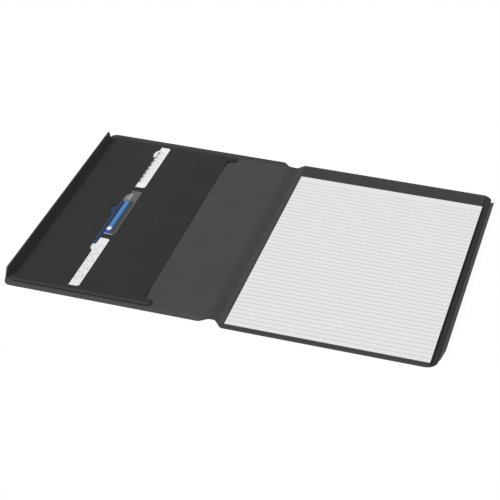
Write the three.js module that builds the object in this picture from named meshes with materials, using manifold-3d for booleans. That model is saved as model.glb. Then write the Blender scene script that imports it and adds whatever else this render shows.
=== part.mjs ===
// A document portfolio for A4 paper, open and lying flat.
// Two covers are joined by a narrow creased spine. A lip is folded up along the outer edge of each
// cover. The left cover carries a document pocket with card slits, and the right cover carries a
// ruled writing pad whose backing board is tucked into a slit liner.
//
// Millimetres. +Z is up, +X runs from the left cover to the right one and +Y runs from the near end
// to the far end. The origin is on the underside of the spine strip, midway between the two creases
// and midway along the right cover.

import * as THREE from "three";
import { mergeVertices } from "three/addons/utils/BufferGeometryUtils.js";
import Module from "manifold-3d";

const wasm = await Module();
wasm.setup();

// Paper and cards, which set the size of the rest
const paperWidth = 210;
const paperLength = 297;
const cardLength = 91.5;
const cardWidth = 55;
const cardThickness = 0.4;
const cardCornerRadius = 3;

// Covers and spine
const coverThickness = 2;
const spineWidth = 12.2;
const leftCoverNearCutback = 4.2;
const leftCoverWidth = 220.9;
const spineNearInset = 10.2;
const spineFarInset = 7.4;
const outerCornerRadius = 8;
const innerCornerRadius = 6.5;

// Creases: the right one is a wide valley, the left one is a narrow groove
const rightCreaseDepth = 0.8;
const rightCreaseRun = 5.3;
const leftCreaseDepth = 0.2;
const leftCreaseRun = 0.6;
const spineRidgeRun = 3;

// Lip on the right cover, which leans outward
const rightStripWidth = 6.6;
const rightStripDepth = 0.8;
const rightStripStepRun = 0.6;
const rightLipLength = 6.6;
const rightLipThickness = 1.2;
const rightLipAngle = 55;
const rightLipNearInset = 14;
const rightLipFarInset = 12.5;
const rightLipNearChamfer = 11.8;
const rightLipFarChamfer = 7.3;

// Lip on the left cover, which stands upright
const leftLipHeight = 10.8;
const leftLipThickness = 1.4;
const leftLipNearInset = 8;
const leftLipFarInset = 9;
const leftLipChamfer = 5;
const lipFoldRadius = 1;

// Writing pad
const pagesThickness = 1;
const boardThickness = 0.5;
const boardInset = 1.3;
const padSideMargin = 9;
const padNearMargin = 3.2;

// Liner under the pad, with the slit for the backing board
const linerThickness = 0.5;
const linerSkirt = 0.8;
const linerSideMargin = 1.3;
const linerNearMargin = 2;
const linerFarMargin = 5;
const linerCornerRadius = 3;
const slitPosition = 150;
const slitOpening = 8;
const boardClearance = 0.3;

// Document pocket on the left cover
const pocketThickness = 0.8;
const pocketGap = 1.2;
const pocketWall = 0.8;
const pocketLipClearance = 4;
const pocketNearMargin = 6;
const pocketFarMargin = 8.9;
const pocketWidth = 145.1;
const pocketCornerRadius = 4;
const earLength = 9.4;
const earWidth = 10.4;
const earFillet = 6;
const earTipRadius = 2;

// Card slits in the pocket
const cardShow = 12.5;
const cardGap = 9.2;
const lastCardToPocketEnd = 7.3;
const firstCardStart = 8.8;
const cardRowFromPocketEdge = 62.2;
const cardSlitWidth = 1.6;
const cardSlitEndClearance = 0.6;
const notchDepth = 4.5;
const notchWidth = 19;
const notchFromCardEnd = 14.5;
const sideCardRowOffset = 5.6;
const sideCardShow = 4.9;
const sideCardStart = 88.6;
const sideCardLength = 89.7;
const sideNotchDepth = 5.5;
const sideNotchFromCardEnd = 18;

// Shared levels and lines worked out from the sizes above
const coverTop = coverThickness;
const rightCreaseX = spineWidth / 2;
const leftCreaseX = -spineWidth / 2;
const cardNames = ["lower_card", "middle_card", "upper_card"];
const cardPitch = cardLength + cardGap;
const cardRowLength = cardNames.length * cardPitch - cardGap;
const pocketLength = firstCardStart + cardRowLength + lastCardToPocketEnd;
const leftCoverLength = pocketNearMargin + pocketLength + pocketFarMargin;
const rightCoverLength = leftCoverLength + leftCoverNearCutback;
const coverNear = -rightCoverLength / 2;
const coverFar = rightCoverLength / 2;
const leftNear = coverNear + leftCoverNearCutback;

// A closed three.js geometry becomes a solid for joining and cutting.
function solid(geometry) {
  geometry.deleteAttribute("normal");
  geometry.deleteAttribute("uv");
  const merged = mergeVertices(geometry, 1e-4);
  return new wasm.Manifold(
    new wasm.Mesh({
      numProp: 3,
      vertProperties: new Float32Array(merged.attributes.position.array),
      triVerts: new Uint32Array(merged.index.array),
    })
  );
}

// A plan outline raised from one level to another.
function plate(shape, bottom, top) {
  const geometry = new THREE.ExtrudeGeometry(shape, {
    depth: top - bottom,
    bevelEnabled: false,
    curveSegments: 6,
  });
  geometry.translate(0, 0, bottom);
  return solid(geometry);
}

// A cross-section in X and Z, swept along Y.
function sweepAlongY(points, start, end) {
  const shape = new THREE.Shape(points.map(([x, z]) => new THREE.Vector2(x, z)));
  const geometry = new THREE.ExtrudeGeometry(shape, { depth: end - start, bevelEnabled: false });
  geometry.rotateX(Math.PI / 2);
  geometry.translate(0, end, 0);
  return solid(geometry);
}

// A cross-section in Y and Z, swept along X.
function sweepAlongX(points, start, end) {
  const shape = new THREE.Shape(points.map(([y, z]) => new THREE.Vector2(y, z)));
  const geometry = new THREE.ExtrudeGeometry(shape, { depth: end - start, bevelEnabled: false });
  geometry.rotateX(Math.PI / 2);
  geometry.rotateZ(Math.PI / 2);
  geometry.translate(start, 0, 0);
  return solid(geometry);
}

// A rectangle in plan with its own radius at each corner, from the near left one round.
function roundedOutline(x0, x1, y0, y1, radii) {
  const [a, b, c, d] = radii;
  const shape = new THREE.Shape();
  shape.moveTo(x0 + a, y0);
  shape.lineTo(x1 - b, y0);
  if (b > 0) shape.absarc(x1 - b, y0 + b, b, -Math.PI / 2, 0, false);
  shape.lineTo(x1, y1 - c);
  if (c > 0) shape.absarc(x1 - c, y1 - c, c, 0, Math.PI / 2, false);
  shape.lineTo(x0 + d, y1);
  if (d > 0) shape.absarc(x0 + d, y1 - d, d, Math.PI / 2, Math.PI, false);
  shape.lineTo(x0, y0 + a);
  if (a > 0) shape.absarc(x0 + a, y0 + a, a, Math.PI, 1.5 * Math.PI, false);
  return shape;
}

// A plain block given by its limits.
function block(x0, x1, y0, y1, z0, z1) {
  const geometry = new THREE.BoxGeometry(x1 - x0, y1 - y0, z1 - z0);
  geometry.translate((x0 + x1) / 2, (y0 + y1) / 2, (z0 + z1) / 2);
  return solid(geometry);
}

// A thin sheet seen edge on: both faces of a centre line, with mitred bends.
function ribbon(line, thickness) {
  const half = thickness / 2;
  const normals = [];
  for (let i = 0; i + 1 < line.length; i += 1) {
    const dx = line[i + 1][0] - line[i][0];
    const dz = line[i + 1][1] - line[i][1];
    const length = Math.hypot(dx, dz);
    normals.push([-dz / length, dx / length]);
  }
  const upper = [];
  const lower = [];
  line.forEach(([x, z], i) => {
    const before = normals[Math.max(i - 1, 0)];
    const after = normals[Math.min(i, normals.length - 1)];
    const mx = before[0] + after[0];
    const mz = before[1] + after[1];
    const scale = half / ((mx * before[0] + mz * before[1]) || 1);
    upper.push([x + mx * scale, z + mz * scale]);
    lower.push([x - mx * scale, z - mz * scale]);
  });
  return lower.concat(upper.reverse());
}

const portfolio = new THREE.Group();

// Hand a finished solid to the scene as a named mesh.
function addPiece(name, body, color, roughness, metalness = 0) {
  const mesh = body.getMesh();
  const geometry = new THREE.BufferGeometry();
  geometry.setAttribute("position", new THREE.BufferAttribute(mesh.vertProperties, 3));
  geometry.setIndex(new THREE.BufferAttribute(mesh.triVerts, 1));
  const flat = geometry.toNonIndexed();
  flat.computeVertexNormals();
  const material = new THREE.MeshStandardMaterial({ color, roughness, metalness });
  const piece = new THREE.Mesh(flat, material);
  piece.name = name;
  portfolio.add(piece);
}

const coverColor = "#4c4c4e";
const linerColor = "#383838";

// Right cover: a plate with a lower strip along its outer edge, and a lip leaning outward from it.
const padLeft = rightCreaseX + padSideMargin;
const padRight = padLeft + paperWidth;
const padNear = coverNear + padNearMargin;
const padFar = padNear + paperLength;
const stripStart = padRight + 0.2;
const rightLipBase = stripStart + rightStripWidth;
const stripTop = coverTop - rightStripDepth;
const rightCreaseTop = coverTop - rightCreaseDepth;

const rightPlateProfile = [
  [rightCreaseX, 0],
  [rightLipBase, 0],
  [rightLipBase, stripTop],
  [stripStart + rightStripStepRun, stripTop],
  [stripStart, coverTop],
  [rightCreaseX + rightCreaseRun, coverTop],
  [rightCreaseX, rightCreaseTop],
];
const rightOutline = roundedOutline(rightCreaseX, rightLipBase, coverNear, coverFar, [
  spineNearInset,
  outerCornerRadius,
  outerCornerRadius,
  innerCornerRadius,
]);
const lean = THREE.MathUtils.degToRad(rightLipAngle);
const lipTip = [
  rightLipBase + rightLipLength * Math.cos(lean),
  stripTop + rightLipLength * Math.sin(lean),
];
const lipBack = [
  lipTip[0] + rightLipThickness * Math.sin(lean),
  lipTip[1] - rightLipThickness * Math.cos(lean),
];
const lipFoot = lipBack[0] - lipBack[1] / Math.tan(lean);
const rightLipProfile = [
  [rightLipBase - rightStripWidth / 2, 0],
  [lipFoot, 0],
  lipBack,
  lipTip,
  [rightLipBase, stripTop],
  [rightLipBase - rightStripWidth / 2, stripTop],
];
const rightLipNear = coverNear + rightLipNearInset;
const rightLipFar = coverFar - rightLipFarInset;
const rightLipTrim = [
  [rightLipNear, -1],
  [rightLipFar, -1],
  [rightLipFar, stripTop],
  [rightLipFar - rightLipFarChamfer, lipTip[1]],
  [rightLipNear + rightLipNearChamfer, lipTip[1]],
  [rightLipNear, stripTop],
];
const rightLip = sweepAlongY(rightLipProfile, rightLipNear, rightLipFar).intersect(
  sweepAlongX(rightLipTrim, rightLipBase - rightStripWidth, lipBack[0] + 1)
);
const rightCover = sweepAlongY(rightPlateProfile, coverNear, coverFar)
  .intersect(plate(rightOutline, -1, coverTop + 1))
  .add(rightLip);
addPiece("right_cover", rightCover, coverColor, 0.6);

// Spine strip: its top falls from a ridge beside the left crease to the valley of the right one.
const leftCreaseTop = coverTop - leftCreaseDepth;
const spineProfile = [
  [leftCreaseX, 0],
  [rightCreaseX, 0],
  [rightCreaseX, rightCreaseTop],
  [leftCreaseX + spineRidgeRun, coverTop],
  [leftCreaseX + leftCreaseRun, coverTop],
  [leftCreaseX, leftCreaseTop],
];
const spineStrip = sweepAlongY(spineProfile, coverNear + spineNearInset, coverFar - spineFarInset);
addPiece("spine_strip", spineStrip, coverColor, 0.6);

// Left cover: a plate with a lip standing upright along its outer edge.
const leftOuter = leftCreaseX - leftCoverWidth;
const leftOutline = roundedOutline(leftOuter, leftCreaseX, leftNear, coverFar, [
  outerCornerRadius,
  innerCornerRadius,
  innerCornerRadius,
  outerCornerRadius,
]);
const leftPlateProfile = [
  [leftOuter, lipFoldRadius],
  [leftOuter + lipFoldRadius * 0.29, lipFoldRadius * 0.29],
  [leftOuter + lipFoldRadius, 0],
  [leftCreaseX, 0],
  [leftCreaseX, leftCreaseTop],
  [leftCreaseX - leftCreaseRun, coverTop],
  [leftOuter, coverTop],
];
const lipTop = coverTop + leftLipHeight;
const leftLipProfile = [
  [leftOuter, lipFoldRadius],
  [leftOuter + leftLipThickness, lipFoldRadius],
  [leftOuter + leftLipThickness, lipTop],
  [leftOuter, lipTop],
];
const leftLipNear = leftNear + leftLipNearInset;
const leftLipFar = coverFar - leftLipFarInset;
const leftLipTrim = [
  [leftLipNear, 0],
  [leftLipFar, 0],
  [leftLipFar, coverTop],
  [leftLipFar - leftLipChamfer, lipTop],
  [leftLipNear + leftLipChamfer, lipTop],
  [leftLipNear, coverTop],
];
const leftLip = sweepAlongY(leftLipProfile, leftLipNear, leftLipFar).intersect(
  sweepAlongX(leftLipTrim, leftOuter - 1, leftOuter + leftLipThickness + 1)
);
const leftCover = sweepAlongY(leftPlateProfile, leftNear, coverFar)
  .intersect(plate(leftOutline, -1, coverTop + 1))
  .add(leftLip);
addPiece("left_cover", leftCover, coverColor, 0.6);

// Document pocket: a sheet held off the cover by a gusset on three sides and open towards the spine,
// with an ear at each end of its mouth.
const pocketUnder = coverTop + pocketGap;
const pocketTop = pocketUnder + pocketThickness;
const pocketLeft = leftOuter + leftLipThickness + pocketLipClearance;
const pocketMouth = pocketLeft + pocketWidth;
const pocketNear = leftNear + pocketNearMargin;
const pocketFar = pocketNear + pocketLength;
const earTip = pocketMouth + earLength;
const pocketOutline = new THREE.Shape();
pocketOutline.moveTo(pocketLeft + pocketCornerRadius, pocketNear);
pocketOutline.lineTo(earTip - earTipRadius, pocketNear);
pocketOutline.absarc(
  earTip - earTipRadius, pocketNear + earTipRadius, earTipRadius, -Math.PI / 2, 0, false
);
pocketOutline.lineTo(earTip, pocketNear + earWidth - earTipRadius);
pocketOutline.absarc(
  earTip - earTipRadius, pocketNear + earWidth - earTipRadius, earTipRadius, 0, Math.PI / 2, false
);
pocketOutline.lineTo(pocketMouth + earFillet, pocketNear + earWidth);
pocketOutline.absarc(
  pocketMouth + earFillet, pocketNear + earWidth + earFillet, earFillet, 1.5 * Math.PI, Math.PI, true
);
pocketOutline.lineTo(pocketMouth, pocketFar - earWidth - earFillet);
pocketOutline.absarc(
  pocketMouth + earFillet, pocketFar - earWidth - earFillet, earFillet, Math.PI, Math.PI / 2, true
);
pocketOutline.lineTo(earTip - earTipRadius, pocketFar - earWidth);
pocketOutline.absarc(
  earTip - earTipRadius, pocketFar - earWidth + earTipRadius, earTipRadius, -Math.PI / 2, 0, false
);
pocketOutline.lineTo(earTip, pocketFar - earTipRadius);
pocketOutline.absarc(
  earTip - earTipRadius, pocketFar - earTipRadius, earTipRadius, 0, Math.PI / 2, false
);
pocketOutline.lineTo(pocketLeft + pocketCornerRadius, pocketFar);
pocketOutline.absarc(
  pocketLeft + pocketCornerRadius, pocketFar - pocketCornerRadius, pocketCornerRadius,
  Math.PI / 2, Math.PI, false
);
pocketOutline.lineTo(pocketLeft, pocketNear + pocketCornerRadius);
pocketOutline.absarc(
  pocketLeft + pocketCornerRadius, pocketNear + pocketCornerRadius, pocketCornerRadius,
  Math.PI, 1.5 * Math.PI, false
);
const hollowRadius = pocketCornerRadius - pocketWall;
const hollowOutline = roundedOutline(
  pocketLeft + pocketWall,
  earTip + 1,
  pocketNear + pocketWall,
  pocketFar - pocketWall,
  [hollowRadius, 0, 0, hollowRadius]
);
const pocketHollow = plate(hollowOutline, coverTop - 1, pocketUnder + 1);
const pocketGusset = plate(pocketOutline, coverTop, pocketUnder).subtract(pocketHollow);
addPiece("pocket_gusset", pocketGusset, linerColor, 0.65);
let pocket = plate(pocketOutline, pocketUnder, pocketTop);

// Each card is tucked into a slit from the right. Its hidden part lies under the pocket sheet, and
// the part that shows rises through the slit and rests on top.
const cardSlitX = pocketLeft + cardRowFromPocketEdge;

function cutSlit(slitX, start, length, depth, notchCentre) {
  pocket = pocket.subtract(
    block(
      slitX,
      slitX + cardSlitWidth,
      start - cardSlitEndClearance,
      start + length + cardSlitEndClearance,
      pocketUnder - 1,
      pocketTop + 1
    )
  );
  const notch = new THREE.Shape();
  notch.absellipse(slitX, notchCentre, depth, notchWidth / 2, 0, 2 * Math.PI, false);
  const leftHalf = block(
    slitX - depth - 1,
    slitX + cardSlitWidth / 2,
    notchCentre - notchWidth,
    notchCentre + notchWidth,
    pocketUnder - 1,
    pocketTop + 1
  );
  pocket = pocket.subtract(plate(notch, pocketUnder - 1, pocketTop + 1).intersect(leftHalf));
}

function addCard(name, slitX, start, length, show, restLevel, color) {
  const low = restLevel + cardThickness / 2;
  const high = pocketTop + cardThickness / 2;
  const line = [
    [slitX + show - cardWidth, low],
    [slitX + cardSlitWidth * 0.16, low],
    [slitX + cardSlitWidth * 0.84, high],
    [slitX + show, high],
  ];
  const outline = roundedOutline(
    slitX + show - cardWidth,
    slitX + show,
    start,
    start + length,
    [cardCornerRadius, cardCornerRadius, cardCornerRadius, cardCornerRadius]
  );
  const card = sweepAlongY(ribbon(line, cardThickness), start, start + length).intersect(
    plate(outline, coverTop - 1, pocketTop + 2)
  );
  addPiece(name, card, color, 0.45);
}

const cardColors = ["#efefef", "#4e4e52", "#f4f4f4"];
cardNames.forEach((name, i) => {
  const start = pocketNear + firstCardStart + i * cardPitch;
  cutSlit(cardSlitX, start, cardLength, notchDepth, start + cardLength - notchFromCardEnd);
  addCard(name, cardSlitX, start, cardLength, cardShow, coverTop, cardColors[i]);
});

// The side card sits in a slit of its own and lies over the hidden parts of the row of cards.
const sideSlitX = cardSlitX - sideCardRowOffset;
const sideStart = pocketNear + sideCardStart;
cutSlit(
  sideSlitX,
  sideStart,
  sideCardLength,
  sideNotchDepth,
  sideStart + sideCardLength - sideNotchFromCardEnd
);
addCard(
  "side_card", sideSlitX, sideStart, sideCardLength, sideCardShow, coverTop + cardThickness, "#324364"
);
addPiece("document_pocket", pocket, linerColor, 0.65);

// Liner on the right cover: a flat sheet, raised under the near half of the pad so that the backing
// board lies beneath it there, and cut across by a slit where the board comes up.
const linerTop = coverTop + linerThickness;
const raisedTop = coverTop + boardThickness + linerThickness;
const slitNear = padNear + slitPosition - slitOpening / 2 - 1;
const slitFar = slitNear + slitOpening;
const boardLeft = padLeft + boardInset;
const boardRight = padRight - boardInset;
const boardNear = padNear + boardInset;
const boardFar = padFar - boardInset;
const linerNear = coverNear + linerNearMargin;
const linerFar = coverFar - linerFarMargin;
const linerLeft = rightCreaseX + linerSideMargin;
const linerRight = boardRight + boardClearance + linerSkirt;
const linerOutline = roundedOutline(linerLeft, linerRight, linerNear, linerFar, [
  linerCornerRadius,
  linerCornerRadius,
  linerCornerRadius,
  linerCornerRadius,
]);
const raisedPart = block(
  boardLeft - boardClearance - linerSkirt,
  linerRight,
  padNear,
  slitNear,
  coverTop,
  raisedTop
);
const boardSpace = block(
  boardLeft - boardClearance,
  boardRight + boardClearance,
  boardNear - boardClearance,
  slitNear + 1,
  coverTop - 1,
  coverTop + boardThickness
);
const boardSlit = block(
  boardLeft - boardClearance,
  boardRight + boardClearance,
  slitNear,
  slitFar,
  coverTop - 1,
  raisedTop + 1
);
const liner = plate(linerOutline, coverTop, linerTop)
  .add(raisedPart)
  .subtract(boardSpace)
  .subtract(boardSlit);
addPiece("pad_liner", liner, coverColor, 0.6);

// Writing pad: a backing board that passes up through the slit, and the sheets on top of it.
const boardLow = coverTop + boardThickness / 2;
const boardHigh = linerTop + boardThickness / 2;
const boardLine = [
  [boardNear, boardLow],
  [slitNear + slitOpening * 0.1, boardLow],
  [slitFar - slitOpening * 0.1, boardHigh],
  [boardFar, boardHigh],
];
const board = sweepAlongX(ribbon(boardLine, boardThickness), boardLeft, boardRight);
addPiece("pad_backing_board", board, "#5a5a5a", 0.8);
const pagesBottom = linerTop + boardThickness;
const pages = block(padLeft, padRight, padNear, padFar, pagesBottom, pagesBottom + pagesThickness);
addPiece("pad_pages", pages, "#ebebed", 0.85);

export default portfolio;
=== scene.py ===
# %% [markdown]
# This lesson dresses an open A4 document portfolio: two covers of imitation leather with a
# creased spine between them, a pocket with four cards in its slits, and a ruled writing pad. The
# solids come from the frame at their real size, in metres: +X runs from the left cover to the
# right one, +Y along the spine and +Z up. Each sheet becomes a clean copy of its solid with soft
# edges and its own finish.

# %% Load the frame
import math

import bpy
from mathutils import Matrix, Vector


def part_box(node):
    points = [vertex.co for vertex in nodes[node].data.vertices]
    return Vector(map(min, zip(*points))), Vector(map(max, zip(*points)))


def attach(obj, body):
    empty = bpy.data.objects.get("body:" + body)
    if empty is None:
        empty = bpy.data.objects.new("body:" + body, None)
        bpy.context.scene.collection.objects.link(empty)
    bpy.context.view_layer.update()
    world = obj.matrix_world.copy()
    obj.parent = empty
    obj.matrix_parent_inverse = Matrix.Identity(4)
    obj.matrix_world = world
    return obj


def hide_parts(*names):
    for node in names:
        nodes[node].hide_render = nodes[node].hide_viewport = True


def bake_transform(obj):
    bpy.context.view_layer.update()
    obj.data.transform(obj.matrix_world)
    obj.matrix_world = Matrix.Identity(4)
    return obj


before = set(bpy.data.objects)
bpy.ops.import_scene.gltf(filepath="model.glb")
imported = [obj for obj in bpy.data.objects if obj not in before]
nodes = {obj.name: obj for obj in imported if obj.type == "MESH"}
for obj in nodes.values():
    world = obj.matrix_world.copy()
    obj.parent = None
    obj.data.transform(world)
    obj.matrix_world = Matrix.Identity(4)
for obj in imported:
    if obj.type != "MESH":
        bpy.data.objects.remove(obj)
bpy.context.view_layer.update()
MM = 0.001
print("nodes:", sorted(nodes))

# %% [markdown]
# The view is set first, because every later choice is judged through it. The lens is long and the
# camera stands well back, so the long edges of the covers stay nearly parallel. The angles are
# those of the photograph: the camera stands to the right of the near end and looks down at 34
# degrees.

# %% Camera
AIM = Vector((0.4, -20.85, 0.0)) * MM
AZIMUTH = math.radians(16.14)
ELEVATION = math.radians(34.06)
ROLL = math.radians(0.95)
DISTANCE = 1724 * MM
SENSOR_WIDTH = 36
FOCAL_LENGTH = 115.34

away = Vector(
    (
        math.sin(AZIMUTH) * math.cos(ELEVATION),
        -math.cos(AZIMUTH) * math.cos(ELEVATION),
        math.sin(ELEVATION),
    )
)
lens = bpy.data.cameras.new("view")
lens.sensor_width = SENSOR_WIDTH
lens.lens = FOCAL_LENGTH
camera = bpy.data.objects.new("view", lens)
turn = away.to_track_quat("Z", "Y").to_matrix().to_4x4() @ Matrix.Rotation(ROLL, 4, "Z")
camera.matrix_world = Matrix.Translation(AIM + away * DISTANCE) @ turn
bpy.context.scene.collection.objects.link(camera)
bpy.context.scene.camera = camera
print("camera at", [round(v, 3) for v in camera.location])

# %% [markdown]
# Each cover is a flat sheet with a lip folded up along its outer edge. Its solid already has the
# right outline, so drawing it again would only add errors. But a solid from the frame is made of
# loose triangles, which no bevel can round. So the sheet starts as a copy, with its doubles
# merged and the lines inside its flat faces dissolved.

# %% Clean copies of the two covers
MERGE_GAP = 0.002 * MM
FLAT_ANGLE = math.radians(0.6)


def pick(piece):
    """Select one piece alone and make it active."""
    bpy.ops.object.select_all(action="DESELECT")
    piece.select_set(True)
    bpy.context.view_layer.objects.active = piece


def clean_faces(piece):
    """Join loose triangles and clear the lines inside flat faces."""
    pick(piece)
    bpy.ops.object.mode_set(mode="EDIT")
    bpy.ops.mesh.select_all(action="SELECT")
    bpy.ops.mesh.remove_doubles(threshold=MERGE_GAP)
    bpy.ops.mesh.dissolve_limited(angle_limit=FLAT_ANGLE)
    bpy.ops.object.mode_set(mode="OBJECT")


def merged_copy(node, name):
    """Copy a solid under a new name, with clean faces and no material."""
    piece = bpy.data.objects.new(name, nodes[node].data.copy())
    bpy.context.scene.collection.objects.link(piece)
    piece.data.materials.clear()
    clean_faces(piece)
    return piece


right_sheet = merged_copy("right_cover", "right_cover_sheet")
left_sheet = merged_copy("left_cover", "left_cover_sheet")
print("cover copies:", len(right_sheet.data.polygons), len(left_sheet.data.polygons), "faces")

# %% [markdown]
# The two covers and the spine are one sheet on the real thing, creased twice. A spine strip of
# its own would open a gap at each crease when the portfolio closes. So each cover takes its half
# of the spine with it, joined by a union, as one mesh that can bend across its own crease. The
# only seam then lies in the middle of the spine, where nothing moves.


# %% Join half of the spine to each cover
def keep_side(piece, side):
    """Cut a piece through in the middle of the spine, keep one side and close the cut."""
    pick(piece)
    bpy.ops.object.mode_set(mode="EDIT")
    bpy.ops.mesh.select_all(action="SELECT")
    bpy.ops.mesh.bisect(
        plane_co=(0, 0, 0),
        plane_no=(1, 0, 0),
        use_fill=True,
        clear_inner=side > 0,
        clear_outer=side < 0,
    )
    bpy.ops.object.mode_set(mode="OBJECT")


def apply(piece, kind, **settings):
    """Add a modifier with its settings and apply it."""
    pick(piece)
    modifier = piece.modifiers.new(kind.title(), kind)
    for key, value in settings.items():
        setattr(modifier, key, value)
    bpy.ops.object.modifier_apply(modifier=modifier.name)


COVERS = ((right_sheet, 1), (left_sheet, -1))
for sheet, side in COVERS:
    half = merged_copy("spine_strip", sheet.name + "_half")
    keep_side(half, side)
    apply(sheet, "BOOLEAN", operation="UNION", object=half, solver="EXACT")
    bpy.data.objects.remove(half)
    clean_faces(sheet)
    print(sheet.name, "with its half of the spine:", len(sheet.data.polygons), "faces")

# %% [markdown]
# A sheet bends only where its mesh has edges. Each one is cut across at its crease, every half
# millimetre, and on both sides of it, where the outline will curve. Bisect adds these edges
# without any change to the shape, which a remesh wouldn't.

# %% Score the covers at their creases
LEFT_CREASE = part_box("spine_strip")[0].x
RIGHT_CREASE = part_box("spine_strip")[1].x
SPINE_CUTS = (5.1, 4.1, 3.1, 2.3, 1.6)
FOLD_CUTS = (-1.0, -0.5, 0.0, 0.5, 1.0, 1.5)
COVER_CUTS = (2.4, 3.8, 5.2, 6.6, 8.0, 9.4)


def score(piece, places, axis=0):
    """Cut edge rings across a piece at places along one axis, so that it can bend there."""
    pick(piece)
    bpy.ops.object.mode_set(mode="EDIT")
    direction = [float(axis == number) for number in range(3)]
    for place in places:
        bpy.ops.mesh.select_all(action="SELECT")
        bpy.ops.mesh.bisect(plane_co=[place * part for part in direction], plane_no=direction)
    bpy.ops.object.mode_set(mode="OBJECT")


for sheet, side in COVERS:
    crease = RIGHT_CREASE if side > 0 else LEFT_CREASE
    cuts = [crease - side * step * MM for step in SPINE_CUTS]
    cuts += [crease + step * MM for step in FOLD_CUTS]
    cuts += [crease + side * step * MM for step in COVER_CUTS]
    score(sheet, cuts)
    print(sheet.name, "has", len(cuts), "cuts")

# %% [markdown]
# The spine is a little shorter than the covers. On the real sheet the cutter goes from one to the
# other in an S-curve, and a plain step would look like a separate part. So the points beyond the
# end of the spine are set on a smooth curve that rises from the spine to the end of the cover.

# %% S-curves at the ends of the spine
SPINE_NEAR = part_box("spine_strip")[0].y + 0.9 * MM
SPINE_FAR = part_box("spine_strip")[1].y
RIGHT_NEAR_CURVE = (1.2 * MM, 12.2 * MM)
LEFT_NEAR_CURVE = (2.2 * MM, 12.0 * MM)
FAR_CURVE = (3.0 * MM, 10.5 * MM)
PAST_CURVE = 0.4 * MM
END_SLACK = 0.1 * MM
BESIDE_SPINE = (10 * MM, 90 * MM)


def smooth(value):
    """Rise from 0 to 1, level at both ends."""
    value = min(max(value, 0.0), 1.0)
    return value * value * (3 - 2 * value)


def flare(sheet, side, sign, spine_end, start, run):
    """Curve one end from start, a distance from the middle of the spine, over a run along X."""
    low, high = BESIDE_SPINE
    beside = [v.co for v in sheet.data.vertices if low < v.co.x * side < high]
    depth = max(sign * place.y for place in beside) - sign * spine_end
    for vertex in sheet.data.vertices:
        place = vertex.co
        beyond_spine = sign * place.y > sign * spine_end - END_SLACK
        if beyond_spine and place.x * side < start + run + PAST_CURVE:
            place.y = spine_end + sign * depth * smooth((place.x * side - start) / run)


for sheet, side in COVERS:
    near_curve = RIGHT_NEAR_CURVE if side > 0 else LEFT_NEAR_CURVE
    flare(sheet, side, -1, SPINE_NEAR, *near_curve)
    flare(sheet, side, 1, SPINE_FAR, *FAR_CURVE)
print("spine from", round(SPINE_NEAR, 4), "to", round(SPINE_FAR, 4))

# %% [markdown]
# The near corner of the right cover is cut with a larger round than the rest. It is scored along
# X at even angles of the new round, and the points of the old corner are then moved onto it.

# %% Rounder near corner of the right cover
PAD_TO_STRIP = 0.2 * MM
STRIP_WIDTH = 6.6 * MM
STRIP_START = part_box("pad_pages")[1].x + PAD_TO_STRIP
LIP_FOLD = STRIP_START + STRIP_WIDTH
OLD_ROUND = 8 * MM
NEW_ROUND = 12 * MM
TOUCH = 0.01 * MM
ROUND_ANGLES = (0.5, 15, 30, 45, 60, 75, 90)

round_start = LIP_FOLD - NEW_ROUND
score(right_sheet, [round_start + NEW_ROUND * math.cos(math.radians(a)) for a in ROUND_ANGLES])
near_edge = min(v.co.y for v in right_sheet.data.vertices)
for vertex in right_sheet.data.vertices:
    over = min(vertex.co.x - round_start, NEW_ROUND)
    if over > 0 and vertex.co.y < near_edge + OLD_ROUND + TOUCH:
        vertex.co.y = near_edge + NEW_ROUND - math.sqrt(NEW_ROUND**2 - over**2)
print("near corner rounded to", round(NEW_ROUND / MM), "mm")

# %% [markdown]
# Imitation leather has no razor-sharp edge: where it is turned over board or cut with a die, the
# rim catches a thin line of light. A bevel modifier gives this round more evenly than moving
# edges by hand. Weighted normals then keep the large flat faces flat in the light.

# %% Round the rims of the covers
COVER_ROUND = 0.45 * MM
RIM_ANGLE = 0.6
SMOOTH_ANGLE = math.radians(35)


def soften(piece, width, chosen=None, segments=3):
    """Bevel the rims. Chosen is a test on an edge's two ends, in metres."""
    settings = dict(width=width, segments=segments, limit_method="ANGLE", angle_limit=RIM_ANGLE)
    if chosen:
        weights = piece.data.attributes.new("bevel_weight_edge", "FLOAT", "EDGE")
        corners = piece.data.vertices
        for edge, weight in zip(piece.data.edges, weights.data):
            ends = [corners[i].co for i in edge.vertices]
            weight.value = 1.0 if chosen(*ends) else 0.0
        settings.update(limit_method="WEIGHT", use_clamp_overlap=False)
    apply(piece, "BEVEL", **settings)
    pick(piece)
    bpy.ops.object.shade_smooth_by_angle(angle=SMOOTH_ANGLE)
    apply(piece, "WEIGHTED_NORMAL", keep_sharp=True, weight=100)


for sheet in (right_sheet, left_sheet):
    soften(sheet, COVER_ROUND)
    print(sheet.name, "finished with", len(sheet.data.polygons), "faces")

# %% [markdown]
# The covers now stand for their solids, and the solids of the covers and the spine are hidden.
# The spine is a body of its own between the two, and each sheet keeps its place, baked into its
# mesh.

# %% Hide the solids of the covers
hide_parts("right_cover", "spine_strip")
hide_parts("left_cover")
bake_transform(right_sheet)
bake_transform(left_sheet)
print("creases at", round(LEFT_CREASE, 4), "and", round(RIGHT_CREASE, 4))

# %% [markdown]
# The pocket is a thinner sheet welded to the left cover on three sides. Its outer rim and its
# mouth are rounded a little, while the die-cut slits stay crisp, so the bevel is given to chosen
# edges: the ones on the top face that do not lie along a slit.

# %% Pocket sheet
ROW_SHOW = 12.5 * MM
ROW_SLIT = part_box("upper_card")[1].x - ROW_SHOW
SLIT_ROOM = 14 * MM
END_ROOM = 2 * MM
POCKET_ROUND = 0.5 * MM
pocket_low, pocket_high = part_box("document_pocket")


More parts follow.
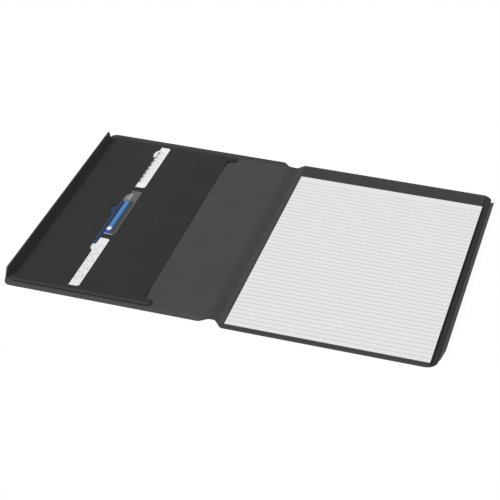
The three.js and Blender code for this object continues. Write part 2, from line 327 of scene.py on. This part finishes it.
def pocket_rim(a, b):
    """True for an edge of the sheet's outer outline, on its top face."""
    on_top = min(a.z, b.z) > pocket_high.z - TOUCH
    middle = (a + b) / 2
    near_slits = abs(middle.x - ROW_SLIT) < SLIT_ROOM
    near_ends = min(middle.y - pocket_low.y, pocket_high.y - middle.y) < END_ROOM
    left_side = middle.x < pocket_low.x + POCKET_ROUND
    return on_top and not left_side and (not near_slits or near_ends)


pocket = merged_copy("document_pocket", "pocket_sheet")
soften(pocket, POCKET_ROUND, pocket_rim)
print("pocket sheet:", len(pocket.data.polygons), "faces")

# %% [markdown]
# Between its two ears the mouth of the pocket is held by nothing, so there the sheet sinks until
# it lies on the cover. Cuts across the sheet give it places to bend, and each point near the
# mouth is then lowered along a smooth curve, with the top a little more than the underside. A
# cloth simulation could do it too, but this sheet is stiff and the sag is known.

# %% Let the mouth of the pocket sink
EAR_LENGTH = 9.4 * MM
MOUTH = pocket_high.x - EAR_LENGTH
SAG_RUN = 34 * MM
MOUTH_CUTS = 8
END_CUTS = [offset * MM for offset in (11, 14, 17, 20, 24, 28, 34, 42)]
HELD_END = 11 * MM
END_RUN = 24 * MM
UNDERSIDE_SAG = 1.16 * MM
TOP_EXTRA_SAG = 0.34 * MM

score(pocket, [MOUTH - step * SAG_RUN / MOUTH_CUTS for step in range(1, MOUTH_CUTS + 1)])
near_cuts = [pocket_low.y + offset for offset in END_CUTS]
far_cuts = [pocket_high.y - offset for offset in END_CUTS]
score(pocket, near_cuts + far_cuts, axis=1)
for vertex in pocket.data.vertices:
    place = vertex.co
    from_end = min(place.y - pocket_low.y, pocket_high.y - place.y)
    share = smooth((place.x - MOUTH + SAG_RUN) / SAG_RUN) * smooth((from_end - HELD_END) / END_RUN)
    height = (place.z - pocket_low.z) / (pocket_high.z - pocket_low.z)
    place.z -= share * (UNDERSIDE_SAG + TOP_EXTRA_SAG * height)
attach(pocket, "left_side")
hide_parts("document_pocket")
print("pocket sheet after the cuts:", len(pocket.data.polygons), "faces")

# %% [markdown]
# Two thin sheets are still to be softened. One is the gusset, a narrow strip that stands on edge
# round three sides of the pocket and holds it off the cover. The other is the liner under the
# writing pad, with the slit that takes the pad's board. Both keep their shape and get a fine
# round on their edges.

# %% Gusset and pad liner
GUSSET_ROUND = 0.12 * MM
LINER_ROUND = 0.2 * MM
gusset = merged_copy("pocket_gusset", "gusset_strip")
soften(gusset, GUSSET_ROUND, segments=2)
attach(gusset, "left_side")
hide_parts("pocket_gusset")
liner = merged_copy("pad_liner", "pad_liner_sheet")
soften(liner, LINER_ROUND, segments=2)
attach(liner, "right_side")
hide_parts("pad_liner")
print("gusset and liner:", len(gusset.data.polygons), len(liner.data.polygons), "faces")

# %% [markdown]
# Each card comes up through its slit close to the slit's left edge, so no dark gap shows beside
# it, and under the thumb notch it is held up against the sheet. The card is a copy of its solid
# with two more folds: the points of its ramp, above the sheet, move left, and the part below the
# notch is raised. Two cards are also pushed a little deeper, so their free edge moves left too.

# %% Cards
SIDE_SHOW = 4.9 * MM
RAMP_SHIFT = 0.5 * MM
RAMP_END = 2 * MM
ROW_RISE = 0.7 * MM
SIDE_RISE = 0.32 * MM
RISE_CUTS = (6.1 * MM, 4.9 * MM)
RISE_START = 5 * MM
DEEPER = 0.8 * MM
FREE_PART = 6 * MM
CARD_BELOW = 0.45 * MM
CARD_SLACK = 0.1 * MM
CARD_SMOOTH_ANGLE = math.radians(25)

card_pieces = {}
for node, show, rise, deeper in (
    ("lower_card", ROW_SHOW, ROW_RISE, DEEPER),
    ("middle_card", ROW_SHOW, ROW_RISE, 0.0),
    ("upper_card", ROW_SHOW, ROW_RISE, DEEPER),
    ("side_card", SIDE_SHOW, SIDE_RISE, 0.0),
):
    card = merged_copy(node, node + "_leaf")
    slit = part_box(node)[1].x - show
    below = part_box(node)[0].z + CARD_BELOW
    score(card, [slit - step for step in RISE_CUTS])
    for vertex in card.data.vertices:
        place = vertex.co
        if place.z > pocket_high.z - CARD_SLACK and place.x < slit + RAMP_END:
            place.x -= RAMP_SHIFT
        if place.z < below and place.x > slit - RISE_START:
            place.z += rise
        if place.x > slit + FREE_PART:
            place.x -= deeper
    pick(card)
    bpy.ops.object.shade_smooth_by_angle(angle=CARD_SMOOTH_ANGLE)
    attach(card, "left_side")
    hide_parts(node)
    card_pieces[node] = card
print("cards:", sorted(card_pieces))

# %% [markdown]
# A writing pad is a stack of leaves on a board. Seen from above it is one ruled sheet, and seen
# from the side it shows fine layers. One block would look like plaster, and a hundred leaves
# would be far too fine to see. So the stack is six thin blocks, each set in a little differently
# from the next.

# %% Pad leaves
LEAF_INSETS = (0.0, 0.25, 0.1, 0.3, 0.12, 0.0)
LEAF_ROUND = 0.05 * MM
LEAF_SHARE = 0.96
PAD_SHIFT = 0.4 * MM
pad_low, pad_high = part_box("pad_pages")
LEAF_HEIGHT = (pad_high.z - pad_low.z) / len(LEAF_INSETS)


def leaf(level, inset):
    """One group of leaves: a cube at its size and place, with its edges just rounded."""
    bpy.ops.object.select_all(action="DESELECT")
    centre = (pad_low + pad_high) / 2
    height = pad_low.z + LEAF_HEIGHT * (level + 0.5)
    bpy.ops.mesh.primitive_cube_add(size=1, location=(centre.x, centre.y + PAD_SHIFT, height))
    piece = bpy.context.active_object
    piece.name = f"pad_leaves_{level + 1}"
    piece.scale = (
        pad_high.x - pad_low.x - 2 * inset,
        pad_high.y - pad_low.y - 2 * inset,
        LEAF_HEIGHT * LEAF_SHARE,
    )
    bpy.ops.object.transform_apply(location=True, rotation=True, scale=True)
    soften(piece, LEAF_ROUND, segments=2)
    return piece


leaves = [leaf(level, inset * MM) for level, inset in enumerate(LEAF_INSETS)]
bpy.ops.object.select_all(action="DESELECT")
for piece in leaves:
    piece.select_set(True)
bpy.context.view_layer.objects.active = leaves[0]
bpy.ops.object.join()
pad = bpy.context.active_object
pad.name = "pad_leaves"
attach(pad, "right_side")
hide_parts("pad_pages")
print("pad leaves:", len(pad.data.polygons), "faces")

# %% [markdown]
# Every finish below is a small network of nodes. So that a mask can be written as arithmetic, the
# class Link wraps one socket and gives it the operators that the finishes use. A comparison of a
# place with a size, or a product of two masks, then adds its Math node by itself.


# %% Colours and arithmetic on sockets
def srgb(red, green, blue):
    """A screen colour from 0 to 255, as the linear values that the shader takes."""
    values = []
    for part in (red / 255, green / 255, blue / 255):
        values.append(part / 12.92 if part <= 0.04045 else ((part + 0.055) / 1.055) ** 2.4)
    return (*values, 1.0)


class Link:
    """One socket, with the arithmetic that the finishes use."""

    def __init__(self, network, socket):
        self.network = network
        self.socket = socket

    def maths(self, operation, *values):
        """A Math node on this socket and the values that follow."""
        return self.network.maths(operation, self, *values)

    def __add__(self, other):
        return self.maths("ADD", other)

    __radd__ = __add__

    def __sub__(self, other):
        return self.maths("SUBTRACT", other)

    def __rsub__(self, other):
        return self.network.maths("SUBTRACT", other, self)

    def __mul__(self, other):
        return self.maths("MULTIPLY", other)

    __rmul__ = __mul__

    def __gt__(self, other):
        return self.maths("GREATER_THAN", other)

    def __lt__(self, other):
        return self.maths("LESS_THAN", other)

    def fraction(self):
        """What is left past the last whole number, for a pattern that repeats."""
        return self.maths("FRACT")

    def between(self, low, high):
        """A mask that is 1 from low to high."""
        return (self > low) * (self < high)


print("mid grey is", [round(part, 3) for part in srgb(128, 128, 128)])

# %% [markdown]
# The class Network makes any other node from its type, its settings and its inputs, and the class
# Finish is a network that ends in one material. Patterns read Object coordinates, in metres,
# because every piece sits at the origin: a ruled line or a grain then stays in place from any
# side.


# %% Networks and finishes
class Network:
    """A tree of nodes."""

    def __init__(self, tree):
        self.tree = tree

    def node(self, kind, settings=None, sockets=None, out=0):
        """Make a node: its settings first, then the values or links of its sockets."""
        made = self.tree.nodes.new(kind)
        for key, value in (settings or {}).items():
            if key == "stops":
                for element, (position, tint) in zip(made.color_ramp.elements, value):
                    element.position = position
                    element.color = tint
            else:
                setattr(made, key, value)
        for key, value in (sockets or {}).items():
            if isinstance(value, Link):
                self.tree.links.new(value.socket, made.inputs[key])
            else:
                made.inputs[key].default_value = value
        return Link(self, made.outputs[out])

    def maths(self, operation, *values):
        """One Math node on values or links."""
        return self.node("ShaderNodeMath", {"operation": operation}, dict(enumerate(values)))

    def show(self, link, output):
        """Send a shader to the surface of the tree's output node."""
        self.tree.links.new(link.socket, self.tree.nodes[output].inputs["Surface"])


class Finish(Network):
    """One material and its network."""

    def __init__(self, name, roughness, specular=0.35):
        self.material = bpy.data.materials.new(name)
        self.material.use_nodes = True
        super().__init__(self.material.node_tree)
        self.shader = self.tree.nodes["Principled BSDF"]
        self.shader.inputs["Roughness"].default_value = roughness
        self.shader.inputs["Specular IOR Level"].default_value = specular
        self.place = self.node("ShaderNodeTexCoord", out="Object")
        split = self.node("ShaderNodeSeparateXYZ", sockets={0: self.place}).socket.node
        self.x, self.y, self.z = [Link(self, split.outputs[i]) for i in range(3)]

    def feed(self, name, link):
        """Link a value or colour to a socket of the material's shader."""
        self.tree.links.new(link.socket, self.shader.inputs[name])

    def mix(self, mask, first, second):
        """Blend two colours by a mask."""
        sockets = {0: mask, 6: first, 7: second}
        return self.node("ShaderNodeMix", {"data_type": "RGBA"}, sockets, out=2)

    def noise(self, scale, detail=3.0):
        """Cloudy variation. Scale is in clouds for each metre, roughly."""
        sockets = {"Vector": self.place, "Scale": scale, "Detail": detail}
        return self.node("ShaderNodeTexNoise", sockets=sockets)

    def bump(self, height, strength, distance):
        """Give the surface relief from a height. Distance is in metres."""
        sockets = {"Height": height, "Strength": strength, "Distance": distance}
        self.feed("Normal", self.node("ShaderNodeBump", sockets=sockets))


# %% [markdown]
# The covers are charcoal imitation leather. Its skin is a fine closed grain, which a cell pattern
# of about a millimetre gives as height, with a finer noise over it. The colour and the gloss move
# only a little, in soft clouds, because this sheet is dyed through. The same function serves the
# liner and, darker and with a finer grain, the pocket.

# %% Leather
GRAIN_GLOSS = 0.13
GRAIN_DEPTH = 0.12 * MM
COVER_GRAIN = 0.9 * MM
COVER_ROUGHNESS = 0.7
COVER_RELIEF = 0.35
CLOUD_SCALE = 26.0
SPECK_SCALE = 1500.0
ROUGHNESS_SWING = 0.12


def grained_sheet(name, base, light, grain, roughness, relief):
    """A leather between two tints, with a grain of one size and a relief from 0 to 1."""
    finish = Finish(name, roughness, GRAIN_GLOSS)
    cells = finish.node(
        "ShaderNodeTexVoronoi",
        {"feature": "SMOOTH_F1"},
        {"Vector": finish.place, "Scale": 1 / grain, "Smoothness": 0.6},
    )
    cloud = finish.noise(CLOUD_SCALE, 4.0)
    fine = finish.noise(SPECK_SCALE, 2.0)
    tint = finish.node(
        "ShaderNodeValToRGB",
        {"stops": [(0.3, base), (0.7, light)]},
        {0: cloud * 0.75 + fine * 0.25},
    )
    finish.feed("Base Color", tint)
    finish.feed("Roughness", roughness - ROUGHNESS_SWING / 2 + cloud * ROUGHNESS_SWING)
    finish.bump(cells + fine * 0.35, relief, GRAIN_DEPTH)
    return finish


def cover_leather(name, base, light):
    """The leather of the covers, the liner and the gusset, in one tint or another."""
    return grained_sheet(name, base, light, COVER_GRAIN, COVER_ROUGHNESS, COVER_RELIEF)


cover_finish = cover_leather("charcoal_leather", srgb(63, 63, 65), srgb(68, 68, 70))
right_finish = cover_leather("charcoal_leather_right", srgb(63, 63, 65), srgb(68, 68, 70))
print("leathers:", cover_finish.material.name, right_finish.material.name)

# %% [markdown]
# Light and shade are painted into the leather's colour here. The spine and the valley beside it
# are painted darker than the flat cover, as painted shade in the crease, and the near margin is
# painted lighter, as painted light. The far margin beyond the pocket gets the pocket's painted
# shadow, and the strip beside the lip is painted lighter against the lip's shadow. Each of these
# is a mask with soft or sharp edges, laid over the grain's colour.

# %% Left cover finish
CREASE_BAND = (-2.0 * MM, 7.0 * MM)
LEFT_NEAR_MARGIN = 5.5 * MM
SHEET_TOP = 2.1 * MM
left_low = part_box("left_cover")[0]


def shade_where(finish, mask, tint):
    """Blend one more tint over a finish's colour where the mask is 1."""
    colour = Link(finish, finish.shader.inputs["Base Color"].links[0].from_socket)
    finish.feed("Base Color", finish.mix(mask, colour, tint))


def soft_band(finish, low, high, fade):
    """A mask that is 1 from low to high along X and fades out over a distance on both sides."""
    rise = (finish.x - (low - fade)) * (1 / fade)
    fall = (high + fade - finish.x) * (1 / fade)
    nearer = finish.maths("MINIMUM", rise, fall)
    return finish.maths("MINIMUM", finish.maths("MAXIMUM", nearer, 0.0), 1.0)


painted_crease_shade = soft_band(cover_finish, *CREASE_BAND, 6 * MM)
lit_near_margin = cover_finish.y < left_low.y + LEFT_NEAR_MARGIN
shaded_far_margin = cover_finish.y > pocket_high.y + POCKET_ROUND
lit_under_lip = (cover_finish.x < pocket_low.x) * (cover_finish.z < SHEET_TOP)
# Painted shade in the crease and the pocket's painted shadow on the far margin; painted light on
# the near margin and beside the lip.
shade_where(cover_finish, painted_crease_shade, srgb(60, 60, 62))
shade_where(cover_finish, lit_near_margin, srgb(70, 70, 72))
shade_where(cover_finish, shaded_far_margin, srgb(59, 59, 61))
shade_where(cover_finish, lit_under_lip, srgb(66, 66, 68))
print("left cover nodes:", len(cover_finish.tree.nodes))

# %% [markdown]
# The flat of the right cover is painted a little darker than the left, as painted shade, because
# the light falls off towards the right. Along its outer edge the sheet is pressed thin, so that
# the lip can fold. This strip is painted darker than the flat cover, and darkest of all in the
# fold itself, as painted shade in the crease, while the lip beyond it is painted lighter, as
# painted light.

# %% Right cover finish
RIGHT_NEAR_MARGIN = 2.4 * MM
FLAT_START = 14 * MM
FOLD_LINE = (1.6 * MM, 0.4 * MM)
right_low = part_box("right_cover")[0]
right_flat_shade = soft_band(right_finish, FLAT_START, STRIP_START, 4 * MM)
painted_crease_shade = soft_band(right_finish, *CREASE_BAND, 4 * MM)
lit_near_margin = right_finish.y < right_low.y + RIGHT_NEAR_MARGIN
lip = right_finish.x > LIP_FOLD
dark_strip = soft_band(right_finish, STRIP_START, LIP_FOLD, 0.4 * MM)
fold_ends = [LIP_FOLD - distance for distance in FOLD_LINE]
fold_shade = soft_band(right_finish, *fold_ends, 0.5 * MM)
# Painted shade on the flat, in the valley and in the fold; painted light on the near margin and
# the lip; the strip is painted darker.
shade_where(right_finish, right_flat_shade, srgb(60, 60, 62))
shade_where(right_finish, painted_crease_shade, srgb(60, 60, 62))
shade_where(right_finish, lit_near_margin, srgb(65, 65, 67))
shade_where(right_finish, lip, srgb(70, 70, 72))
shade_where(right_finish, dark_strip, srgb(50, 50, 51))
shade_where(right_finish, fold_shade, srgb(44, 44, 45))
print("right cover nodes:", len(right_finish.tree.nodes))

# %% [markdown]
# The liner under the pad is a separate thin sheet of the same leather, painted darker than the
# covers as painted shade, because the light falls off towards the right. It shows as a margin
# round the pad: its strip beside the crease slopes towards the light, and so does the strip at the
# near edge, so both are painted lighter, as painted light.

# %% Pad liner finish
LINER_SLOPE = 12.8 * MM
liner_finish = cover_leather("charcoal_liner", srgb(55, 55, 57), srgb(60, 60, 62))
# Painted light on the strip beside the crease and on the strip at the near edge.
shade_where(liner_finish, liner_finish.x < LINER_SLOPE, srgb(65, 65, 67))
shade_where(liner_finish, liner_finish.y < pad_low.y, srgb(68, 68, 70))
print("liner nodes:", len(liner_finish.tree.nodes))

# %% [markdown]
# The pocket is darker, and it has a welded line along its near side, where the sheet is pressed to
# its gusset. Along that line a darker tone is painted at a set distance from the edge, as painted
# shade in the groove, and the margins outside it and at the far side are painted lighter, as
# painted highlights on the rounded edges. The gusset under it is in shadow, except for its left
# wall, which is painted lighter, as painted light against the shadow of the lip.

# %% Pocket and gusset finishes
WELD_LINE = (4.2 * MM, 5.3 * MM)
FAR_MARGIN = 3.4 * MM
LEFT_WALL = 1 * MM
pocket_finish = grained_sheet(
    "pocket_liner",
    base=srgb(43, 43, 43),
    light=srgb(48, 48, 48),
    grain=0.6 * MM,
    roughness=0.74,
    relief=0.3,
)
weld_shade = pocket_finish.y.between(pocket_low.y + WELD_LINE[0], pocket_low.y + WELD_LINE[1])
lit_near_band = pocket_finish.y.between(pocket_low.y, pocket_low.y + WELD_LINE[0])
lit_far_band = pocket_finish.y.between(pocket_high.y - FAR_MARGIN, pocket_high.y)
# Painted highlights on the near and far margins, and painted shade along the welded line.
shade_where(pocket_finish, lit_near_band + lit_far_band, srgb(55, 55, 56))
shade_where(pocket_finish, weld_shade, srgb(36, 36, 36))

gusset_finish = cover_leather("gusset_leather", srgb(48, 48, 49), srgb(53, 53, 54))
# Painted light on the gusset's left wall, against the shadow of the lip.
shade_where(gusset_finish, gusset_finish.x < pocket_low.x + LEFT_WALL, srgb(72, 72, 73))
print("pocket nodes:", len(pocket_finish.tree.nodes))

# %% [markdown]
# Ruled paper is a matt white sheet with grey lines at an even pitch. The lines are a mask: the
# distance along the pad is divided by the pitch, and its fraction is compared with the line's
# width. The sides of the stack get fine layers from the height, so the edge reads as paper and not
# plaster, and they are painted much darker than the top, as painted shade.

# %% Ruled paper
RULE_PITCH = 6.95 * MM
RULE_FIRST = pad_low.y + 6.8 * MM
RULE_COUNT = 41
RULE_WIDTH = 0.55 * MM
LAYER_PITCH = 0.13 * MM
LAYER_SHARE = 0.45
TOP_SHEET = 0.06 * MM
paper = Finish("ruled_paper", 0.85, 0.2)
step = ((paper.y - RULE_FIRST) * (1 / RULE_PITCH)).fraction()
last_rule = RULE_FIRST + (RULE_COUNT - 0.9) * RULE_PITCH
in_rows = paper.y.between(RULE_FIRST - 0.001 * MM, last_rule)
on_top = paper.z > pad_high.z - TOP_SHEET
rule = (step < RULE_WIDTH / RULE_PITCH) * in_rows * on_top
fibres = paper.noise(900.0, 3.0)
sheet_tint = paper.mix(fibres, srgb(210, 210, 211), srgb(216, 216, 217))
top_tint = paper.mix(rule, sheet_tint, srgb(152, 152, 154))
# The sides of the stack: fine layers, painted much darker than the top as painted shade.
side_layers = (paper.z * (1 / LAYER_PITCH)).fraction() < LAYER_SHARE
shaded_side_tint = paper.mix(side_layers, srgb(140, 140, 141), srgb(112, 112, 113))
paper.feed("Base Color", paper.mix(on_top, shaded_side_tint, top_tint))
paper.bump(fibres, 0.08, 0.05 * MM)
print("rules:", RULE_COUNT, "at", round(RULE_PITCH / MM, 2), "mm")

# %% [markdown]
# Cards are smooth coated board. All print on them is generic: rows of short plain bars with no
# lettering. A bar is a mask again, from the fraction of the distance along the card, and each row
# has a pitch of its own. The upper card is the whitest, with four rows beside its slit.

# %% Upper card
upper_low, upper_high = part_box("upper_card")


def card_finish(name, colour):
    """Coated board of one colour, with a faint cloud and a faint relief."""
    finish = Finish(name, 0.5, 0.18)
    speck = finish.noise(60.0, 2.0)
    darker = (*(part * 0.95 for part in colour[:3]), 1.0)
    finish.tint = finish.mix(speck, colour, darker)
    finish.bump(finish.noise(700.0, 2.0), 0.05, 0.04 * MM)
    return finish


def lay(finish, mask, colour):
    """Print one colour on a card where the mask is 1."""
    finish.tint = finish.mix(mask, finish.tint, colour)


def print_bars(finish, low, rows, pitch, share, start, depth, tint):
    """Print a row of bars, each a share of the pitch long. Sizes are in millimetres."""
    bar = ((finish.y - low.y) * (1000 / pitch)).fraction() < share
    line = finish.x.between(ROW_SLIT + start * MM, ROW_SLIT + (start + depth) * MM)
    lay(finish, bar * rows * line, tint)


upper = card_finish("upper_card_print", srgb(227, 227, 229))
printed = upper.y.between(upper_low.y + 10 * MM, upper_high.y - 8 * MM)
print_bars(upper, upper_low, printed, 9.2, 0.8, 0.9, 1.3, srgb(58, 58, 58))
print_bars(upper, upper_low, printed, 4.6, 0.55, 3.4, 0.9, srgb(120, 120, 120))
print_bars(upper, upper_low, printed, 7.0, 0.6, 6.0, 0.9, srgb(190, 190, 190))
print_bars(upper, upper_low, printed, 10.4, 0.7, 8.4, 0.9, srgb(190, 190, 190))
print("upper card nodes:", len(upper.tree.nodes))

# %% [markdown]
# The lower card is the same board, a little greyer, with three faint rows. The side card behind
# the row is one deep blue, and only a narrow strip of it shows.

# %% Lower card and side card
lower_low, lower_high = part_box("lower_card")
lower = card_finish("lower_card_print", srgb(219, 219, 220))
printed = lower.y.between(lower_low.y + 9 * MM, lower_high.y - 14 * MM)
print_bars(lower, lower_low, printed, 11.0, 0.5, 2.0, 1.4, srgb(188, 188, 190))
print_bars(lower, lower_low, printed, 7.3, 0.6, 5.0, 1.0, srgb(188, 188, 190))
print_bars(lower, lower_low, printed, 15.0, 0.4, 8.0, 1.6, srgb(188, 188, 190))
side_print = card_finish("side_card_print", srgb(42, 58, 85))
print("lower card nodes:", len(lower.tree.nodes))

# %% [markdown]
# The middle card is dark grey. It has paler rims, a paler far end with one row of short bars, and
# a blue stripe along its slit. The stripe has a white patch near its near end and is a deeper
# blue beyond it. Where two of these masks overlap, the one that is laid later covers the other.

# %% Middle card
FAR_END = 22 * MM
STRIPE = (-1.0 * MM, 5.4 * MM)
middle_low, middle_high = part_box("middle_card")
middle = card_finish("middle_card_print", srgb(63, 64, 65))
far_end = middle.y > middle_high.y - FAR_END
lay(middle, middle.x > middle_high.x - 0.7 * MM, srgb(112, 112, 114))
lay(middle, middle.y < middle_low.y + 0.9 * MM, srgb(168, 168, 170))
lay(middle, far_end, srgb(92, 92, 93))
lay(middle, far_end * (middle.x < ROW_SLIT - 0.5 * MM), srgb(118, 118, 119))
printed = middle.y.between(middle_high.y - 20 * MM, middle_high.y - 6 * MM)
print_bars(middle, middle_low, printed, 3.7, 0.55, 0.5, 4.1, srgb(165, 165, 166))

stripe = middle.x.between(ROW_SLIT + STRIPE[0], ROW_SLIT + STRIPE[1])
near_end = middle_low.y
blue = middle.y.between(near_end + 14 * MM, middle_high.y - FAR_END)
lay(middle, stripe * blue, srgb(66, 122, 182))
white = middle.y.between(near_end + 8 * MM, near_end + 14 * MM)
lay(middle, stripe * white, srgb(225, 225, 232))
deep_blue = middle.y.between(near_end + 0.9 * MM, near_end + 8 * MM)
lay(middle, stripe * deep_blue, srgb(40, 84, 165))
print("middle card nodes:", len(middle.tree.nodes))

# %% [markdown]
# Each piece now gets its finish. The board under the pad is the one solid that keeps its own mesh,
# because only its edge could ever be seen. It is plain grey board, and it gets a cloudy grey in
# its material slot.

# %% Give the finishes to the pieces
board = Finish("pad_board", 0.8, 0.25)
board.feed("Base Color", board.mix(board.noise(300.0), srgb(66, 66, 66), srgb(80, 80, 80)))
nodes["pad_backing_board"].material_slots[0].material = board.material


def wear(piece, finish):
    """Give a piece its finish."""
    piece.data.materials.clear()
    piece.data.materials.append(finish.material)


wear(right_sheet, right_finish)
wear(left_sheet, cover_finish)
wear(pocket, pocket_finish)
wear(pad, paper)
wear(liner, liner_finish)
wear(gusset, gusset_finish)
for node, finish, slot in (
    ("upper_card", upper, "card_white"),
    ("lower_card", lower, "card_white"),
    ("middle_card", middle, "card_grey"),
    ("side_card", side_print, "card_blue"),
):
    finish.feed("Base Color", finish.tint)
    wear(card_pieces[node], finish)
print("materials:", sorted(material.name for material in bpy.data.materials))

# %% [markdown]
# The portfolio lies on white paper. Lighting a floor until it is white would wash out the object,
# so the floor glows faintly for the camera's rays only: it reads as a clean background and still
# keeps a contact shadow. It lies a hair below the covers, so that the two never touch.

# %% Floor
FLOOR_DROP = 0.3 * MM
GLOW_SHARE = 0.96
WHITE = (1, 1, 1, 1)
bpy.ops.object.select_all(action="DESELECT")
bpy.ops.mesh.primitive_plane_add(size=6, location=(0, 0, -FLOOR_DROP))
floor = bpy.context.active_object
floor.name = "floor"
floor_finish = Finish("floor_paper", 0.9, 0.1)
floor_finish.shader.inputs["Base Color"].default_value = (0.9, 0.9, 0.9, 1)
glow = floor_finish.node("ShaderNodeEmission", sockets={"Color": WHITE, "Strength": 1.0})
seen = floor_finish.node("ShaderNodeLightPath", out="Is Camera Ray") * GLOW_SHARE
paper_floor = Link(floor_finish, floor_finish.shader.outputs[0])
mixed = floor_finish.node("ShaderNodeMixShader", sockets={0: seen, 1: paper_floor, 2: glow})
floor_finish.show(mixed, "Material Output")
floor.data.materials.append(floor_finish.material)
print("floor at", floor.location.z)

# %% [markdown]
# The world is an even white room. The camera sees it at full white, while the object gets less
# than half of that as light, so that the lamps still shape the folds.

# %% World
ROOM_LIGHT = 0.42
world = bpy.data.worlds.new("studio")
bpy.context.scene.world = world
world.use_nodes = True
studio = Network(world.node_tree)
backdrop = world.node_tree.nodes["Background"]
backdrop.inputs["Color"].default_value = WHITE
backdrop.inputs["Strength"].default_value = 1.0
room = studio.node("ShaderNodeBackground", sockets={"Color": WHITE, "Strength": ROOM_LIGHT})
seen = studio.node("ShaderNodeLightPath", out="Is Camera Ray")
white_room = Link(studio, backdrop.outputs[0])
mixed = studio.node("ShaderNodeMixShader", sockets={0: seen, 1: room, 2: white_room})
studio.show(mixed, "World Output")
print("room light:", ROOM_LIGHT)

# %% [markdown]
# A studio light for a dark, matt object is large, soft and far away, so that it is as bright on
# the right cover as on the left one. A sun lamp with a wide angle gives just that. The main one
# comes from the left and above, so the slope of each fold which faces left is a little brighter,
# and a weak one from the near right opens the shadows. The Standard view transform keeps the
# colours as written.


# %% Lamps
def soft_lamp(name, towards, spread, strength):
    """A far lamp whose light comes from one direction, softened over a wide angle in degrees."""
    light = bpy.data.lights.new(name, "SUN")
    light.angle = math.radians(spread)
    light.energy = strength
    lamp = bpy.data.objects.new(name, light)
    lamp.location = towards
    lamp.rotation_euler = Vector(towards).to_track_quat("Z", "Y").to_euler()
    bpy.context.scene.collection.objects.link(lamp)
    return lamp


key = soft_lamp("key", (-3.2, -2.0, 3.8), 27, 2.56)
fill = soft_lamp("fill", (2.6, -1.6, 3.8), 40, 0.75)
bpy.context.scene.view_settings.view_transform = "Standard"
print("lamps:", key.name, key.data.energy, "and", fill.name, fill.data.energy)
